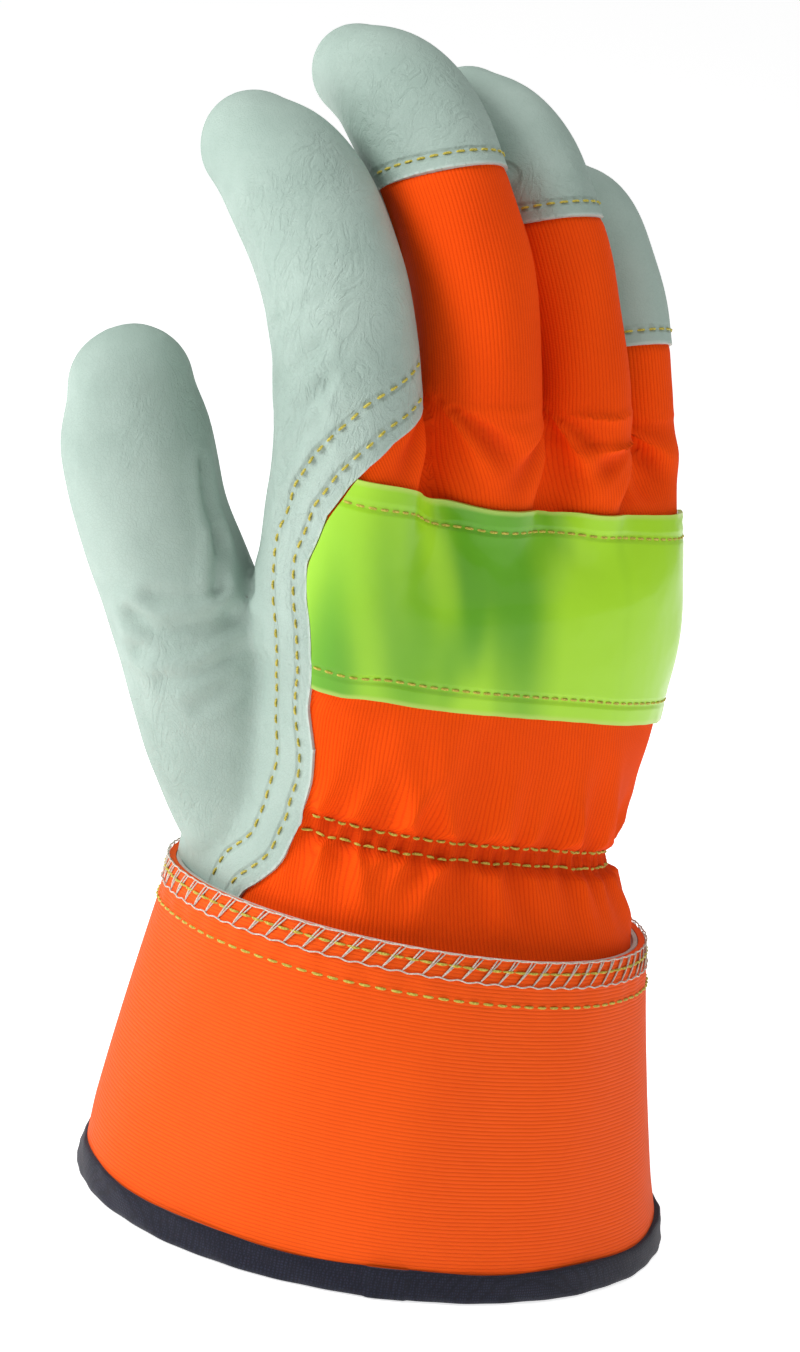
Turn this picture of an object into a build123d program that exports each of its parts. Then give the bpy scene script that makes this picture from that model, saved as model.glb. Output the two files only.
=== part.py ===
"""Right-hand rigger's work glove standing on its safety cuff, back of the hand towards -Y.

Millimetres. +Z runs up from the cuff's hem to the fingertips, +X towards the little finger,
-Y is the back of the hand and +Y the palm. The origin is the middle of the hem's opening.
Every panel is a thin shell cut out of one set of lofted tubes, so neighbours meet at their seams.
All sizes are given square to the hand, with the hem slanted across it. Each finished piece is then
turned by LEAN, so that the hem lies level and the hand leans over towards the thumb.
"""

import math
import os

from build123d import *

os.makedirs("parts", exist_ok=True)

# Material thicknesses
LEATHER = 1.2
CLOTH = 1.2
LINING = 0.8
LINING_GAP = 0.15
THREAD = 0.4
THREAD_WIDTH = 0.6
THREAD_GAP = 0.05
STRIP = 0.6
BINDING = 0.8

# The hand's lean from square to the hem, in degrees
LEAN = 6.0
HEM_SLOPE_X = -math.tan(math.radians(LEAN))

# Safety cuff: (z, centre x, centre y, half width, half depth)
CUFF = [(-10, -0.2, 0.2, 60.7, 54.6), (62, 1, -1, 48.2, 43), (74, 1.2, -1.2, 46.2, 41)]
CUFF_WALL = 1.2
CUFF_TOP_Z = 63
CUFF_TOP_SLOPE_X = -0.17
CUFF_TOP_SLOPE_Y = -0.035
HEM_HEIGHT = 5.5
OVERLOCK_HEIGHT = 4.0
TOPSTITCH_DROP = 8.0

# Body of the hand: (z, centre x, centre y, half width, half depth)
HAND = [
    (47, 1, 0, 42, 34.5),
    (62, 1, 0, 42.8, 35.5),
    (76, 1, 1, 41, 33),
    (95, 4.6, -3, 42.8, 27),
    (118, 5.6, -8, 43.2, 22),
    (138, 5.6, -8, 45.2, 19.5),
    (160, 5.6, -8, 45.6, 18.7),
]
SEAM_Y = -1.0
BACK_Y = -8.5

# Edge of the palm leather on the back of the hand, as (x, z) up from the cuff to the index finger
PALM_EDGE = [
    (-46, 44),
    (-40, 72),
    (-35, 84),
    (-34.5, 92),
    (-36, 111),
    (-38, 135),
    (-33, 152),
    (-33, 170),
]

# Reflective strip over the knuckles, as (x, z) corners seen from the back of the hand
STRIP_LOWER_EDGE = [(-35, 113.5), (-7, 109.5), (47, 98), (60, 95)]
STRIP_UPPER_EDGE = [(60, 139), (37, 143.5), (2, 149), (-33, 151), (-37.5, 135)]
STRIP_LOWER_ROW = [(-34, 117.5), (-7, 113.5), (47, 102), (60, 99)]
STRIP_UPPER_ROW = [(-32, 146.5), (2, 144.5), (37, 139), (60, 134.5)]

# Gathered wrist: two rows of elastic shirring across the back, over a band of elastic inside
ELASTIC_ROWS = [
    [(-34, 88), (0, 81.5), (52, 72)],
    [(-34, 83.5), (0, 77.5), (52, 68)],
]
ELASTIC_BAND = [(-33, 91), (0, 85), (54, 76), (54, 64), (0, 74), (-33, 80)]

# Fingers: stations (y, z, half width, half depth) from base to tip, then x, the hinge's (y, z)
# and, where the back is cloth, the (y, z) on the finger's middle line where the leather cap starts
INDEX_PATH = [
    (-6.5, 134, 12.3, 14),
    (-8, 163, 12.6, 15),
    (2, 187, 12.6, 14.6),
    (19.5, 200.5, 12.2, 12.8),
    (30.5, 203.5, 10.2, 10.6),
]
MIDDLE_PATH = [
    (-11.2, 138, 12, 13.2),
    (-12.5, 170, 12, 13.3),
    (3, 200, 12, 12.7),
    (23, 214.5, 11.2, 11.4),
    (35, 216, 8.6, 8.8),
]
RING_PATH = [
    (-10.8, 136, 10.3, 12.3),
    (-12, 168, 10.3, 12),
    (3.5, 195, 10.3, 11.4),
    (20, 207.5, 9.8, 10),
    (29, 209.5, 8.2, 8.4),
]
LITTLE_PATH = [
    (-1.5, 130, 9.4, 11.4),
    (-1.2, 160, 9.6, 11.4),
    (8, 181, 9.5, 10.6),
    (17.5, 191, 8.5, 8.8),
    (23.5, 193.2, 6.8, 7),
]
FINGERS = {
    "index": dict(x=-27.0, hinge=(-8, 160), path=INDEX_PATH, cap=None),
    "middle": dict(x=-2.0, hinge=(-12.3, 164), path=MIDDLE_PATH, cap=(4.5, 201.5)),
    "ring": dict(x=20.6, hinge=(-11.8, 161), path=RING_PATH, cap=(1.6, 193)),
    "little": dict(x=41.2, hinge=(-1.3, 153), path=LITTLE_PATH, cap=(1.0, 168)),
}
HAND_TOP_DROP = 8.5
LINING_SHORT = 2
FINGER_BASE_DROP = 5.0
FINGER_PITCH_EDGES = {
    "index": (-80, -14.2),
    "middle": (-14.2, 10.2),
    "ring": (10.2, 31.3),
    "little": (31.3, 80),
}
CAP_ROW_RISE = 3.0
CAP_ROW_SHORT = 0.5
SIDE_SEAM_BACK = 3.0

# Thumb: stations (x, y, z, half width, half depth); the hinge sits on the joint station
THUMB = [
    (-25, 8.5, 78, 15.6, 14.6),
    (-33, 12, 95, 16.5, 15.5),
    (-41.2, 16.5, 117, 14.6, 14.4),
    (-48.4, 21.5, 137, 14.5, 14.1),
    (-51.4, 25, 153, 14, 13.2),
    (-52.4, 26, 160, 11.6, 11.2),
]
THUMB_HINGE = (-41.2, 16.5, 117)
THUMB_STALL_DROP = 3.0
THUMB_BASE_DROP = 7.5
THUMB_SWING = 1.5

REACH = 120.0
DOME_STEPS = (0.5, 0.8, 0.95)


def loft_tube(sections, inset, section=Ellipse, ruled=False):
    """Closed loft through (plane, half width, half depth) sections, each shrunk by inset."""
    with BuildPart() as tube:
        for plane, half_width, half_depth in sections:
            with BuildSketch(plane):
                if section is Ellipse:
                    Ellipse(half_width - inset, half_depth - inset)
                else:
                    SlotOverall(2 * (half_width - inset), 2 * (half_depth - inset))
        loft(ruled=ruled)
    return tube.part


def level_sections(stations):
    """Horizontal sections of the cuff or the hand."""
    return [(Plane(origin=(x, y, z)), a, b) for z, x, y, a, b in stations]


def square_to(along, origin):
    """Plane across a direction, its own x axis kept as near to +X as it can be."""
    heading = along.normalized()
    return Plane(origin=origin, x_dir=Vector(1, 0, 0) - heading * heading.X, z_dir=heading)


def with_midpoints(stations):
    """Stations with one more between each pair, on a smooth curve through their neighbours."""
    last = len(stations) - 1
    smooth = [stations[0]]
    for i in range(last):
        before, start = stations[max(i - 1, 0)], stations[i]
        end, after = stations[i + 1], stations[min(i + 2, last)]
        smooth.append(tuple((9 * (b + c) - a - d) / 16 for a, b, c, d in zip(before, start, end, after)))
        smooth.append(end)
    return smooth


def stall_tube(stations, inset):
    """Tube square to a bent path of (x, y, z, half width, half depth), closed by a rounded dome."""
    stations = with_midpoints(stations)
    points = [Vector(x, y, z) for x, y, z, _, _ in stations]
    sizes = [(a, b) for _, _, _, a, b in stations]
    last = len(points) - 1
    sections = []
    for i, (point, (a, b)) in enumerate(zip(points, sizes)):
        along = points[min(i + 1, last)] - points[max(i - 1, 0)]
        sections.append((square_to(along, point), a, b))
    end, (a, b) = points[last], sizes[last]
    heading = (points[last] - points[last - 1]).normalized()
    dome = min(a, b) - inset
    for step in DOME_STEPS:
        shrink = math.sqrt(1 - step * step)
        plane = square_to(heading, end + heading * (dome * step))
        sections.append((plane, (a - inset) * shrink + inset, (b - inset) * shrink + inset))
    return loft_tube(sections, inset, ruled=True)


def finger_tube(finger, inset):
    return stall_tube([(finger["x"], *station) for station in finger["path"]], inset)


def thumb_tube(inset):
    return stall_tube(THUMB, inset)


def cuff_tube(inset):
    return loft_tube(level_sections(CUFF), inset)


def hand_tube(inset):
    return loft_tube(level_sections(HAND), inset, SlotOverall)


def between(outer, inner):
    """The wall left between two nested tubes."""
    with BuildPart() as wall:
        add(outer)
        add(inner, mode=Mode.SUBTRACT)
    return wall.part


def back_prism(corners, start_y):
    """Block over the back of the hand whose outline is the given (x, z) corners."""
    with BuildPart() as prism:
        with BuildSketch(Plane.XZ.offset(-start_y)):
            with BuildLine():
                Polyline(*corners, close=True)
            make_face()
        extrude(amount=REACH)
    return prism.part


def back_row(points):
    """Thin wall over the back of the hand that cuts one row of thread along (x, z) points."""
    with BuildPart() as wall:
        with BuildSketch(Plane.XZ.offset(-BACK_Y)):
            with BuildLine():
                row = Polyline(*points)
            trace(row, line_width=THREAD_WIDTH)
        extrude(amount=REACH)
    return wall.part


def dorsal_half(finger, short=0.0):
    """Block holding the back half of a finger, optionally stopping short of the finger's sides."""
    x = finger["x"]
    half_width = finger["path"][0][2] + 3 if not short else finger["path"][2][2] - short
    seam = [(y - SIDE_SEAM_BACK, z) for y, z, _, _ in finger["path"]]
    tip_y, tip_z = seam[-1]
    outside = [(tip_y + 30, tip_z + 4), (tip_y + 30, 260), (-80, 260), (-80, seam[0][1])]
    with BuildPart() as half:
        with BuildSketch(Plane.YZ.offset(x - half_width)):
            with BuildLine():
                Polyline(*seam, *outside, close=True)
            make_face()
        extrude(amount=2 * half_width)
    return half.part


def stepped_room(drop):
    """Everything below the finger hinges by the given drop, stepped from finger to finger."""
    with BuildPart() as room:
        for name, finger in FINGERS.items():
            left, right = FINGER_PITCH_EDGES[name]
            with BuildSketch(Plane.XY.offset(-1)):
                with Locations(((left + right) / 2, 0)):
                    Rectangle(right - left, 2 * REACH)
            extrude(amount=finger["hinge"][1] - drop + 1)
    return room.part


def hem_band(low, high):
    """Slab along the slanted hem, between two distances above it."""
    normal = Vector(-HEM_SLOPE_X, 0, 1)
    with BuildPart() as slab:
        with BuildSketch(square_to(normal, Vector(0, 0, 0)).offset(low)):
            Rectangle(2 * REACH, 2 * REACH)
        extrude(amount=high - low)
    return slab.part


def cuff_band(drop_low, drop_high):
    """Slab along the slanted top edge of the cuff, between two distances below it."""
    normal = Vector(-CUFF_TOP_SLOPE_X, -CUFF_TOP_SLOPE_Y, 1)
    with BuildPart() as slab:
        with BuildSketch(square_to(normal, Vector(0, 0, CUFF_TOP_Z)).offset(-drop_low)):
            Rectangle(2 * REACH, 2 * REACH)
        extrude(amount=drop_low - drop_high)
    return slab.part


def save(builder, name):
    piece = builder.part.moved(Location((0, 0, 0), (0, -LEAN, 0)))
    piece.label = name
    export_step(piece, f"parts/{name}.step")


# Safety cuff -----------------------------------------------------------------------------
cuff_skin = cuff_tube(0)
cuff_inside = cuff_tube(CUFF_WALL)
below_cuff_top = cuff_band(REACH, 0)
above_hem = hem_band(BINDING, REACH)
with BuildPart() as cuff_outer:
    add(cuff_skin)
    add(cuff_inside, mode=Mode.SUBTRACT)
    add(below_cuff_top, mode=Mode.INTERSECT)
    add(above_hem, mode=Mode.INTERSECT)
save(cuff_outer, "cuff_outer")

lining_depth = CUFF_WALL + LINING_GAP + LINING
lining_skin = cuff_tube(CUFF_WALL + LINING_GAP)
lining_inside = cuff_tube(lining_depth)
with BuildPart() as cuff_lining:
    add(lining_skin)
    add(lining_inside, mode=Mode.SUBTRACT)
    add(below_cuff_top, mode=Mode.INTERSECT)
    add(above_hem, mode=Mode.INTERSECT)
save(cuff_lining, "cuff_lining")

# The binding is folded over the hem, so a channel for the cuff and its lining is left in it
binding_wrap = between(cuff_tube(-BINDING), cuff_tube(lining_depth + BINDING))
hem_channel = between(cuff_tube(-THREAD_GAP), cuff_tube(lining_depth + THREAD_GAP))
below_channel = hem_band(-1, BINDING - THREAD_GAP)
hem_slab = hem_band(0, HEM_HEIGHT)
with BuildPart() as hem_binding:
    add(binding_wrap)
    add(hem_slab, mode=Mode.INTERSECT)
    add(hem_channel - below_channel, mode=Mode.SUBTRACT)
save(hem_binding, "hem_binding")

cuff_thread_wall = between(cuff_tube(-THREAD_GAP - THREAD), cuff_tube(-THREAD_GAP))
overlock_slab = cuff_band(OVERLOCK_HEIGHT, 0)
with BuildPart() as cuff_seam_overlock:
    add(cuff_thread_wall)
    add(overlock_slab, mode=Mode.INTERSECT)
save(cuff_seam_overlock, "cuff_seam_overlock")

topstitch_slab = cuff_band(TOPSTITCH_DROP + THREAD_WIDTH, TOPSTITCH_DROP)
with BuildPart() as cuff_topstitching:
    add(cuff_thread_wall)
    add(topstitch_slab, mode=Mode.INTERSECT)
save(cuff_topstitching, "cuff_topstitching")

# Body of the hand ------------------------------------------------------------------------
hand_skin = hand_tube(0)
hand_inside = hand_tube(LEATHER)
thumb_skin = thumb_tube(0)
thumb_inside = thumb_tube(LEATHER)
back_zone = back_prism([*PALM_EDGE, (REACH, 170), (REACH, 44)], SEAM_Y)
hand_room = stepped_room(HAND_TOP_DROP)
lining_room = stepped_room(HAND_TOP_DROP + LINING_SHORT)
thumb_heading = Vector(*THUMB[3][:3]) - Vector(*THUMB[1][:3])
thumb_joint = square_to(thumb_heading, Vector(*THUMB_HINGE))
swing_tube = thumb_tube(-THUMB_SWING)
with BuildPart() as thumb_swing:
    add(swing_tube)
    split(bisect_by=thumb_joint.offset(-THUMB_STALL_DROP - THUMB_SWING), keep=Keep.TOP)

with BuildPart() as palm_leather:
    add(hand_skin)
    add(hand_inside, mode=Mode.SUBTRACT)
    add(thumb_inside, mode=Mode.SUBTRACT)
    add(thumb_swing.part, mode=Mode.SUBTRACT)
    add(back_zone, mode=Mode.SUBTRACT)
    add(hand_room, mode=Mode.INTERSECT)
save(palm_leather, "palm_leather")

with BuildPart() as back_fabric:
    add(hand_skin)
    add(hand_inside, mode=Mode.SUBTRACT)
    add(back_zone, mode=Mode.INTERSECT)
    add(hand_room, mode=Mode.INTERSECT)
save(back_fabric, "back_fabric")

with BuildPart() as thumb_base:
    add(thumb_skin)
    add(thumb_inside, mode=Mode.SUBTRACT)
    add(hand_skin, mode=Mode.SUBTRACT)
    split(bisect_by=thumb_joint.offset(-THUMB_BASE_DROP), keep=Keep.BOTTOM)
save(thumb_base, "thumb_base")

inner_depth = LEATHER + LINING_GAP
hand_lining_wall = between(hand_tube(inner_depth), hand_tube(inner_depth + LINING))
with BuildPart() as palm_lining:
    add(hand_lining_wall)
    add(thumb_skin, mode=Mode.SUBTRACT)
    add(thumb_swing.part, mode=Mode.SUBTRACT)
    add(back_zone, mode=Mode.SUBTRACT)
    add(lining_room, mode=Mode.INTERSECT)
save(palm_lining, "palm_lining")

elastic_zone = back_prism(ELASTIC_BAND, BACK_Y)
with BuildPart() as wrist_elastic:
    add(hand_lining_wall)
    add(elastic_zone, mode=Mode.INTERSECT)
save(wrist_elastic, "wrist_elastic")

strip_wall = between(hand_tube(-THREAD_GAP - STRIP), hand_tube(-THREAD_GAP))
strip_zone = back_prism([*STRIP_LOWER_EDGE, *STRIP_UPPER_EDGE], BACK_Y)
with BuildPart() as reflective_strip:
    add(strip_wall)
    add(strip_zone, mode=Mode.INTERSECT)
save(reflective_strip, "reflective_strip")

thread_wall = between(hand_tube(-THREAD_GAP - THREAD), hand_tube(-THREAD_GAP))
shirring_rows = [back_row(points) for points in ELASTIC_ROWS]
with BuildPart() as wrist_shirring:
    for row in shirring_rows:
        add(row)
    add(thread_wall, mode=Mode.INTERSECT)
save(wrist_shirring, "wrist_shirring")

strip_thread_wall = between(hand_tube(-STRIP - 2 * THREAD_GAP - THREAD), hand_tube(-STRIP - 2 * THREAD_GAP))
strip_rows = [back_row(points) for points in (STRIP_LOWER_ROW, STRIP_UPPER_ROW)]
with BuildPart() as strip_stitching:
    for row in strip_rows:
        add(row)
    add(strip_thread_wall, mode=Mode.INTERSECT)
save(strip_stitching, "strip_stitching")

# Fingers ---------------------------------------------------------------------------------
for name, finger in FINGERS.items():
    skin = finger_tube(finger, 0)
    inside = finger_tube(finger, LEATHER)
    lining_wall = between(finger_tube(finger, inner_depth), finger_tube(finger, inner_depth + LINING))
    base = Plane.XY.offset(finger["hinge"][1] - FINGER_BASE_DROP)
    dorsal = dorsal_half(finger)

    with BuildPart() as lining:
        add(lining_wall)
        add(dorsal, mode=Mode.SUBTRACT)
        split(bisect_by=base, keep=Keep.TOP)
    save(lining, f"{name}_lining")

    if finger["cap"] is None:
        with BuildPart() as back_leather:
            add(skin)
            add(inside, mode=Mode.SUBTRACT)
            add(dorsal, mode=Mode.INTERSECT)
            split(bisect_by=base, keep=Keep.TOP)
        save(back_leather, f"{name}_back_leather")

    with BuildPart() as front_leather:
        add(skin)
        add(inside, mode=Mode.SUBTRACT)
        add(dorsal, mode=Mode.SUBTRACT)
        split(bisect_by=base, keep=Keep.TOP)
    save(front_leather, f"{name}_front_leather")

    if finger["cap"] is None:
        continue

    y, z = finger["cap"]
    (_, (y_low, z_low, _, _), (y_high, z_high, _, _)) = finger["path"][:3]
    cap_edge = square_to(Vector(0, y_high - y_low, z_high - z_low), Vector(finger["x"], y, z))
    with BuildPart() as back_cloth:
        add(skin)
        add(inside, mode=Mode.SUBTRACT)
        add(dorsal, mode=Mode.INTERSECT)
        split(bisect_by=base, keep=Keep.TOP)
        split(bisect_by=cap_edge, keep=Keep.BOTTOM)
    save(back_cloth, f"{name}_back_fabric")

    with BuildPart() as tip_cap:
        add(skin)
        add(inside, mode=Mode.SUBTRACT)
        add(dorsal, mode=Mode.INTERSECT)
        split(bisect_by=cap_edge, keep=Keep.TOP)
    save(tip_cap, f"{name}_tip_cap")

    row_wall = between(finger_tube(finger, -THREAD_GAP - THREAD), finger_tube(finger, -THREAD_GAP))
    row_reach = dorsal_half(finger, THREAD_GAP + THREAD + CAP_ROW_SHORT)
    with BuildPart() as cap_stitching:
        add(row_wall)
        add(row_reach, mode=Mode.INTERSECT)
        split(bisect_by=cap_edge.offset(CAP_ROW_RISE), keep=Keep.TOP)
        split(bisect_by=cap_edge.offset(CAP_ROW_RISE + THREAD_WIDTH), keep=Keep.BOTTOM)
    save(cap_stitching, f"{name}_cap_stitching")

# Thumb -----------------------------------------------------------------------------------
thumb_cut = thumb_joint.offset(-THUMB_STALL_DROP)
thumb_lining_wall = between(thumb_tube(inner_depth), thumb_tube(inner_depth + LINING))
thumb_seam = [(y, z) for _, y, z, _, _ in THUMB]
with BuildPart() as thumb_dorsal:
    with BuildSketch(Plane.YZ.offset(-REACH)):
        with BuildLine():
            Polyline(*thumb_seam, (27, 200), (-60, 200), (-60, THUMB[0][2]), close=True)
        make_face()
    extrude(amount=REACH)

with BuildPart() as thumb_back_leather:
    add(thumb_skin)
    add(thumb_inside, mode=Mode.SUBTRACT)
    add(thumb_dorsal.part, mode=Mode.INTERSECT)
    split(bisect_by=thumb_cut, keep=Keep.TOP)
save(thumb_back_leather, "thumb_back_leather")

with BuildPart() as thumb_front_leather:
    add(thumb_skin)
    add(thumb_inside, mode=Mode.SUBTRACT)
    add(thumb_dorsal.part, mode=Mode.SUBTRACT)
    split(bisect_by=thumb_cut, keep=Keep.TOP)
save(thumb_front_leather, "thumb_front_leather")

with BuildPart() as thumb_lining:
    add(thumb_lining_wall)
    add(thumb_dorsal.part, mode=Mode.SUBTRACT)
    split(bisect_by=thumb_cut, keep=Keep.TOP)
save(thumb_lining, "thumb_lining")
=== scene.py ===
"""Right-hand work glove standing on its cuff: leather palm and caps, cloth back, knuckle strip, flared cuff.

Lengths are millimetres square to the hand. Making a mesh turns them by the glove's lean and into metres.
"""
import math

import bpy
import numpy as np
from mathutils import Matrix, Vector
from mathutils.bvhtree import BVHTree


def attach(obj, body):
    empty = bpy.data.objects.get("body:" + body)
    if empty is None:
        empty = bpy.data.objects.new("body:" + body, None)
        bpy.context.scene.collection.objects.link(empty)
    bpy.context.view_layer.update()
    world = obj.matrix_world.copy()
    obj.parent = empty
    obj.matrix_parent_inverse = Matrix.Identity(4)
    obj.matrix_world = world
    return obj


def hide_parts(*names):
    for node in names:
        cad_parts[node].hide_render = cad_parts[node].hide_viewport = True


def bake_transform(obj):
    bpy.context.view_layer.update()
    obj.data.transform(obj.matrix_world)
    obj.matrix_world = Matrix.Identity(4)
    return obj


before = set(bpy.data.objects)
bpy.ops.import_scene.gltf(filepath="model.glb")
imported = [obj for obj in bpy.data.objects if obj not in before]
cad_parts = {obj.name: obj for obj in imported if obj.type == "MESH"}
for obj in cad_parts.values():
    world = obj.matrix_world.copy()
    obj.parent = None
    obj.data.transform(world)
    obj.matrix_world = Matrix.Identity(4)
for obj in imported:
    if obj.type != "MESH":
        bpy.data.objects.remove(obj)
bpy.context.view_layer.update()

MM = 0.001
TURN = 2 * math.pi
VOXEL = 1.0

# ------------------------------------------------------------------ forms the glove is grown from
# (x, y, z, half width, half depth) from the wrist end to the tip
HAND = [
    (0.2, -1.8, 50, 45.6, 39.7), (0.2, -1.5, 60, 44.3, 38), (0.3, 0.4, 69, 41.9, 35.4),
    (0.8, 1.5, 77, 41, 33.5), (3, -0.5, 86, 41.4, 30), (5, -3.5, 97, 42.4, 26.5),
    (5.6, -8, 118, 43, 21.5), (5.6, -8, 132, 44, 19.5), (5.8, -8.5, 141, 42.5, 15),
]
HAND_POWER = 2.5
WEB = [(3, -9.5, 125, 38, 12), (1, -10.5, 148, 34, 9.5), (-1, -10.5, 156, 28, 6.5)]
FINGERS = {
    "index": [
        (-27, -8.5, 104, 8, 12), (-27.2, -8.5, 120, 12.6, 17), (-27, -8.5, 137, 12.8, 17.4),
        (-27, -8, 163, 12.6, 15), (-27, 2, 187, 12.6, 14.6), (-27, 19.5, 200.5, 12.2, 12.8),
        (-27, 30.5, 203.5, 10.4, 10.6),
    ],
    "middle": [
        (-2, -9, 104, 8, 14), (-2, -9.5, 122, 12.4, 18.5), (-2, -10.5, 140, 12.4, 16.5),
        (-2, -12.5, 170, 12, 13.3), (-2, 3, 200, 12, 12.7), (-2, 23, 214.5, 11.2, 11.4),
        (-2, 35, 216, 8.8, 8.8),
    ],
    "ring": [
        (20.6, -9, 104, 8, 14), (20.6, -9.5, 122, 11.4, 18), (20.6, -10, 138, 11, 16),
        (20.6, -12, 168, 10.3, 12), (20.6, 3.5, 195, 10.3, 11.4), (20.6, 20, 207.5, 9.8, 10),
        (20.6, 29, 209.5, 8.2, 8.4),
    ],
    "little": [
        (39.6, -7, 98, 7, 13), (40.6, -6, 116, 10, 16.5), (41, -4.5, 132, 9.9, 15),
        (41.2, -1.2, 158, 9.6, 11.4), (41.2, 8, 181, 9.5, 10.6), (41.2, 17.5, 191, 8.6, 8.8),
        (41.2, 23.5, 193.2, 7, 7),
    ],
}
THUMB = [
    (-24, 8, 76, 16.5, 15), (-33, 12, 95, 16.5, 15.5), (-41.2, 16.5, 117, 14.6, 14.4),
    (-48.4, 21.5, 137, 14.5, 14.1), (-51.4, 25, 153, 14, 13.2), (-52.4, 26, 160, 11.8, 11.4),
]
SPREAD = {"index": (-3.5, 159), "middle": (-1.2, 157), "ring": (1.2, 155), "little": (3.5, 150)}
SPREAD_RUN = 10
HALF_WIDTH = {"index": 12.8, "middle": 12.15, "ring": 10.4, "little": 9.8}
COLUMN_EDGES = [-14.2, 10.2, 31.3]
CROTCH_Z = [166, 163, 157]
NAMES = list(FINGERS)

# where each finger's blended piece starts, above the crotches beside it
FINGER_START = {"index": 167.5, "middle": 167.5, "ring": 164.5, "little": 158.5}
FINGER_RUN = 16
THUMB_START = (-35, 11, 120)
THUMB_TURN = (-0.6, 0.1, 0.79)
THUMB_RUN = 18
THUMB_REACH = 18.5
THUMB_CLEAR = 17.5
WRIST_BLEND = (64, 86)

# seam of the palm leather on the back of the hand, (z, x)
PALM_EDGE = [
    (50, -44), (66, -42.5), (72, -40.8), (80.5, -37), (87, -34.7), (101, -34.7), (110.5, -35.8),
    (120, -37.6), (130, -38.6), (137, -38.6), (146.5, -37.2), (153, -34.7), (156.5, -32.2), (161, -27.4),
    (164, -19.5), (166, -14.3), (170, -14.2), (240, -14.2),
]
EDGE_ROWS = (3.0, 8.6)
# radii of the threads: of most rows, of the finger caps, of the wrist and cuff, and of the overlocking
THREAD, CAP_THREAD, COARSE, FINE = 0.24, 0.22, 0.26, 0.15
CAP_ROW = 2.7
CAP_ROW_SHORT = 3.0
# a field's value where it has no line, and how far a row's points may lie off its line
NOWHERE = 9.0
OFF_ROW = 0.3
FABRIC_INSET = 0.7
LEATHER_THICK = 1.2
CLOTH_THICK = 0.8
SHIRR_X = (-34, -10, 14, 30, 52)
SHIRR_Z = (88.3, 84, 79.8, 75.8, 70)
SHIRR_GAP = 2.7
ELASTIC_REACH = 5
CAPS = {"middle": (4.5, 201.4), "ring": (1.6, 192.8), "little": (1.0, 167.4)}
CAP_LEAN = {"middle": (15, 30), "ring": (11, 27), "little": (9, 21)}
SIDE_SEAM = {"index": -0.2, "middle": -0.45, "ring": 0.05, "little": -0.3}

# the seam where the hand joins the cuff, as height at the middle and its slopes along x and y
CUFF_TOP = (63, -0.17, -0.035)
LEAN = math.radians(6)


def seam_height(x, y):
    return CUFF_TOP[0] + CUFF_TOP[1] * x + CUFF_TOP[2] * y


def hem_height(x):
    """The hem's height in the hand's own frame, across which it slants."""
    return -x * math.tan(LEAN)


def leaned(p):
    """Rows of points or directions square to the hand, turned to stand on the level hem."""
    p = np.asarray(p, float)
    c, s = math.cos(LEAN), math.sin(LEAN)
    return np.stack([p[..., 0] * c - p[..., 2] * s, p[..., 1], p[..., 0] * s + p[..., 2] * c], -1)


def in_metres(p):
    return tuple(float(v) for v in leaned(p) * MM)


def unit(v):
    """Rows of directions, or one, at length one."""
    v = np.asarray(v, float)
    return v / np.maximum(np.linalg.norm(v, axis=-1, keepdims=True), 1e-12)


def ramp(t):
    t = np.clip(t, 0, 1)
    return t * t * (3 - 2 * t)


def around(count):
    return np.linspace(0, TURN, count, endpoint=False)


def squared(c, power):
    """Sines or cosines turned into those of a superellipse."""
    return np.sign(c) * np.abs(c) ** power


def travelled(line):
    """Length along a line up to each of its points."""
    return np.r_[0, np.cumsum(np.linalg.norm(np.diff(line[:, :3], axis=0), axis=1))]


def at_height(stations, z, key=2):
    """Middle x and y, half width and half depth of a form at each height."""
    s = np.array(stations, float)
    return [np.interp(z, s[:, key], s[:, k]) for k in range(5) if k != key]


def added(name, data):
    """A new object in the scene."""
    obj = bpy.data.objects.new(name, data)
    bpy.context.scene.collection.objects.link(obj)
    return obj


# ------------------------------------------------------------------ meshes in numpy
def spline(points, step):
    """Smooth samples through rows of numbers, about step apart in their first three columns."""
    p = np.array(points, float)
    gap = np.linalg.norm(np.diff(p[:, :3], axis=0), axis=1)
    t = np.r_[0, np.cumsum(gap)]
    slope = np.diff(p, axis=0) / gap[:, None]
    m = np.empty_like(p)
    m[0], m[-1] = slope[0], slope[-1]
    m[1:-1] = (slope[1:] * gap[:-1, None] + slope[:-1] * gap[1:, None]) / (gap[1:] + gap[:-1])[:, None]
    u = np.linspace(0, t[-1], max(2, int(round(t[-1] / step)) + 1))
    i = np.clip(np.searchsorted(t, u, side="right") - 1, 0, len(gap) - 1)
    h = gap[i][:, None]
    s = ((u - t[i]) / gap[i])[:, None]
    return (
        (2 * s**3 - 3 * s**2 + 1) * p[i]
        + (s**3 - 2 * s**2 + s) * h * m[i]
        + (3 * s**2 - 2 * s**3) * p[i + 1]
        + (s**3 - s**2) * h * m[i + 1]
    )


def frames(path):
    """Unit tangent and two unit vectors square to it at each point of a path."""
    t = unit(np.gradient(path, axis=0))
    e = unit(np.array([1.0, 0, 0]) - t * t[:, :1])
    return t, e, np.cross(t, e)


def ring_points(path, a, b, cx, sy, e, n):
    """Points of the rings round a path, a and b in half width and depth along e and n."""
    wide = a[:, None, None] * cx[None, :, None] * e[:, None]
    deep = b[:, None, None] * sy[None, :, None] * n[:, None]
    return (path[:, None] + wide + deep).reshape(-1, 3)


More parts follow.
